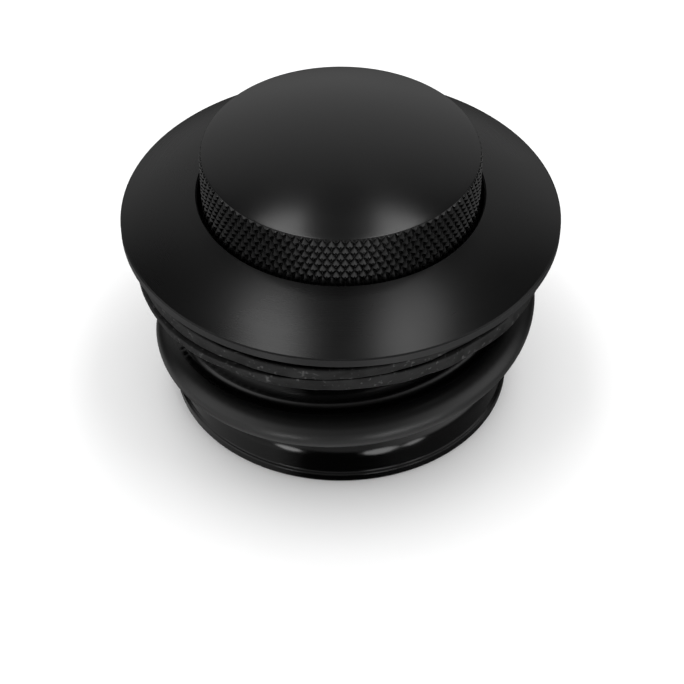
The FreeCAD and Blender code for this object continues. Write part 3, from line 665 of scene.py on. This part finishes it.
MATERIALS = {
    # The third number is the painted grey of steep faces: painted sheen on the bezel, painted shade
    # on the knob.
    "black_anodised": anodised("black_anodised", 0.33, 0.02, 0.28, 0.4, 0.6),
    "black_knob": anodised("black_knob", 0.5, 0.001, 0.2, 0.18, 0.3),
    "black_plug": glossy_plug("black_plug"),
    "gasket_rubber": moulded_rubber("gasket_rubber", 0.5, 0.55),
    "seal_rubber": moulded_rubber("seal_rubber", 0.1, 0.42),
    "steel": turned_metal("steel", grey(0.62), grey(0.5), 0.28, 2600.0),
    "black_screws": black_oxide("black_screws"),
    "spring_steel": turned_metal("spring_steel", grey(0.52), grey(0.36), 0.26, 1800.0),
    "bronze": sintered_bronze("bronze"),
    "brass": turned_metal("brass", (0.72, 0.52, 0.22, 1), (0.55, 0.38, 0.15, 1), 0.25, 2400.0),
    "guide_plastic": machined_plastic("guide_plastic"),
}


def dress(piece, slot_name):
    """Puts one material on every face of a piece."""
    if not piece.material_slots:
        piece.data.materials.append(MATERIALS[slot_name])
    for slot in piece.material_slots:
        slot.material = MATERIALS[slot_name]


# ------------------------------------------------------------------ build and dress
dress(make_knob(), "black_knob")
dress(make_gasket(), "gasket_rubber")
dress(make_spring("pop_spring", POP_WIRE_R, POP_TURNS), "spring_steel")
dress(make_spring("vent_spring", VENT_WIRE_R, VENT_TURNS), "spring_steel")
for row in RECORD["subparts"]:
    dress(NODES[row["node"]], row["material_slot"])


# ------------------------------------------------------------------ camera, floor, light
CAMERA_AWAY = 9.0 * FLANGE_R        # from the middle of the bezel's rim
CAMERA_UP_DEG = 39.67
CAMERA_TILT_DEG = 43.57             # how far the camera looks down
CAMERA_SIDE = 0.23 * MM
LENS_MM = 103.9
SENSOR_MM = 36.0
FLOOR_SIZE = 6.0
FLOOR_GAP = 0.02 * MM
LIGHT_Z = 1.0
# A lamp is its name, its place to the side and back, its width and depth, and its brightness.
LAMPS = (
    ("far", 0.245, 0.37, 0.19, 0.17, 3.9),
    ("near", 0.275, 0.0, 0.25, 0.5, 4.6),
)
# Directions in the mirrored room are parts of a unit vector: +Y is its back and +Z is up.
# A depth is how far back a direction points and the brightness there.
ROOM_BY_DEPTH = (
    (-1.0, 0.1),
    (0.0, 0.06),
    (0.45, 0.08),
    (0.52, 0.15),
    (0.6, 0.3),
    (0.77, 0.5),
    (0.9, 0.58),
    (1.0, 0.6),
)
FRONT_WALL = 0.3
SIDE_WALL = 1.0
GROUND = 0.25
LEFT_LOW = 0.3
RIGHT_LOW = 0.07
# A low patch is its heading and rise in degrees, its half width in degrees and its brightness.
LOW_PATCHES = (
    (-33, -30, 8, 3.5),
    (25, -30, 11, 3.0),
    (47, -30, 7, 2.6),
)


def add_camera():
    """Camera in front of the cap, looking down along +Y."""
    up = math.radians(CAMERA_UP_DEG)
    data = bpy.data.cameras.new("camera")
    data.lens = LENS_MM
    data.sensor_width = SENSOR_MM
    camera = bpy.data.objects.new("camera", data)
    camera.location = (
        CAMERA_SIDE,
        -CAMERA_AWAY * math.cos(up),
        RIM_TOP + CAMERA_AWAY * math.sin(up),
    )
    camera.rotation_euler = (math.pi / 2 - math.radians(CAMERA_TILT_DEG), 0, 0)
    bpy.context.scene.collection.objects.link(camera)
    bpy.context.scene.camera = camera


def softbox(name, place, size, radiance):
    """Rectangular light that faces straight down."""
    data = bpy.data.lights.new(name, "AREA")
    data.shape = "RECTANGLE"
    data.size, data.size_y = size
    data.energy = radiance * math.pi * size[0] * size[1]
    light = bpy.data.objects.new(name, data)
    light.location = place
    bpy.context.scene.collection.objects.link(light)


def add_lamps():
    """The same two lamps high up on the left and on the right."""
    for side_name, side in (("left", -1), ("right", 1)):
        for lamp, aside, back, width, depth, radiance in LAMPS:
            place = (side * aside, back, LIGHT_Z)
            softbox(side_name + "_" + lamp, place, (width, depth), radiance)


def direction(heading_deg, rise_deg):
    """Unit vector; the heading runs from the camera's side round to the right."""
    heading = math.radians(heading_deg)
    rise = math.radians(rise_deg)
    flat = math.cos(rise)
    return Vector((flat * math.sin(heading), -flat * math.cos(heading), math.sin(rise)))


def height_band(look, low, full_low, full_high, high):
    """1 between two heights in the mirrored room, fading to 0 below and above them."""
    rising = look.between(look.z, low, full_low, 0.0, 1.0)
    falling = look.between(look.z, full_high, high, 1.0, 0.0)
    return look.maths("MULTIPLY", rising, falling)


def room_back(look):
    """Pale back and dark front, dimmer below the horizon."""
    ramp = look.nodes.new("ShaderNodeValToRGB")
    look.links.new(look.between(look.y, -1.0, 1.0, 0.0, 1.0), ramp.inputs[0])
    elements = ramp.color_ramp.elements
    elements[0].color = grey(ROOM_BY_DEPTH[0][1])
    elements[1].color = grey(ROOM_BY_DEPTH[-1][1])
    for depth, value in ROOM_BY_DEPTH[1:-1]:
        elements.new((depth + 1) / 2).color = grey(value)
    return look.maths("MULTIPLY", ramp.outputs[0], look.between(look.z, -0.1, 0.2, 0.1, 1.0))


def room_walls(look):
    """Walls at the height of the horizon: bright at the sides and darker in front."""
    aside = look.between(look.maths("ABSOLUTE", look.x), 0.3, 0.9, FRONT_WALL, SIDE_WALL)
    level = height_band(look, -0.46, -0.3, 0.35, 0.6)
    nearer = look.between(look.y, 0.0, 0.35, 1.0, 0.0)
    return look.maths("MULTIPLY", look.maths("MULTIPLY", aside, level), nearer)


def room_ground(look):
    """Pale ground straight below, and a dim glow low down on the left and on the right."""
    ground = look.between(look.z, -0.92, -0.76, GROUND, 0.0)
    below = height_band(look, -0.8, -0.7, -0.5, -0.3)
    left_low = look.maths("MULTIPLY", below, look.between(look.x, -0.5, -0.3, LEFT_LOW, 0.0))
    right_low = look.maths("MULTIPLY", below, look.between(look.x, 0.3, 0.5, 0.0, RIGHT_LOW))
    return look.maths("ADD", ground, look.maths("ADD", left_low, right_low))


def low_patch(look, heading, rise, half_width, value):
    """Soft round patch of light in one direction."""
    toward = look.nodes.new("ShaderNodeVectorMath")
    toward.operation = "DOT_PRODUCT"
    look.links.new(look.place, toward.inputs[0])
    toward.inputs[1].default_value = direction(heading, rise)
    edge = math.cos(math.radians(half_width))
    return look.between(toward.outputs["Value"], edge, (1 + edge) / 2, 0.0, value)


def add_studio():
    """White surroundings for the eye and for the floor. The black metal mirrors a dimmer
    room: pale behind the cap, dark above it and on the camera's side, with soft patches low
    down in front, one on the left and two on the right, and a pale ground straight below."""
    world = bpy.data.worlds.new("studio")
    bpy.context.scene.world = world
    world.use_nodes = True
    world.cycles.sampling_method = "NONE"
    look = Look("mirrored_room", world.node_tree)
    room = look.maths("ADD", room_back(look), room_walls(look))
    room = look.maths("ADD", room, room_ground(look))
    for patch in LOW_PATCHES:
        room = look.maths("ADD", room, low_patch(look, *patch))
    path = look.nodes.new("ShaderNodeLightPath")
    seen = look.blend(path.outputs["Is Glossy Ray"], grey(1.0), room)
    look.links.new(seen, look.nodes["Background"].inputs["Color"])


def add_floor():
    """Plain pale floor, left out of mirror images and clear when seen from below."""
    bpy.ops.mesh.primitive_plane_add(size=FLOOR_SIZE, location=(0, 0, BOTTOM - FLOOR_GAP))
    floor = bpy.context.object
    floor.name = "floor"
    floor.visible_glossy = False
    look = Look("pale_floor")
    look.set(Base_Color=look.blend(look.grain(40.0), grey(0.92), grey(0.94)))
    look.set(Roughness=0.9, Specular_IOR_Level=0.1)
    geometry = look.nodes.new("ShaderNodeNewGeometry")
    look.set(Alpha=look.maths("SUBTRACT", 1.0, geometry.outputs["Backfacing"]))
    floor.data.materials.append(look.material)


add_camera()
add_lamps()
bpy.context.scene.view_settings.view_transform = "Standard"
add_studio()
add_floor()
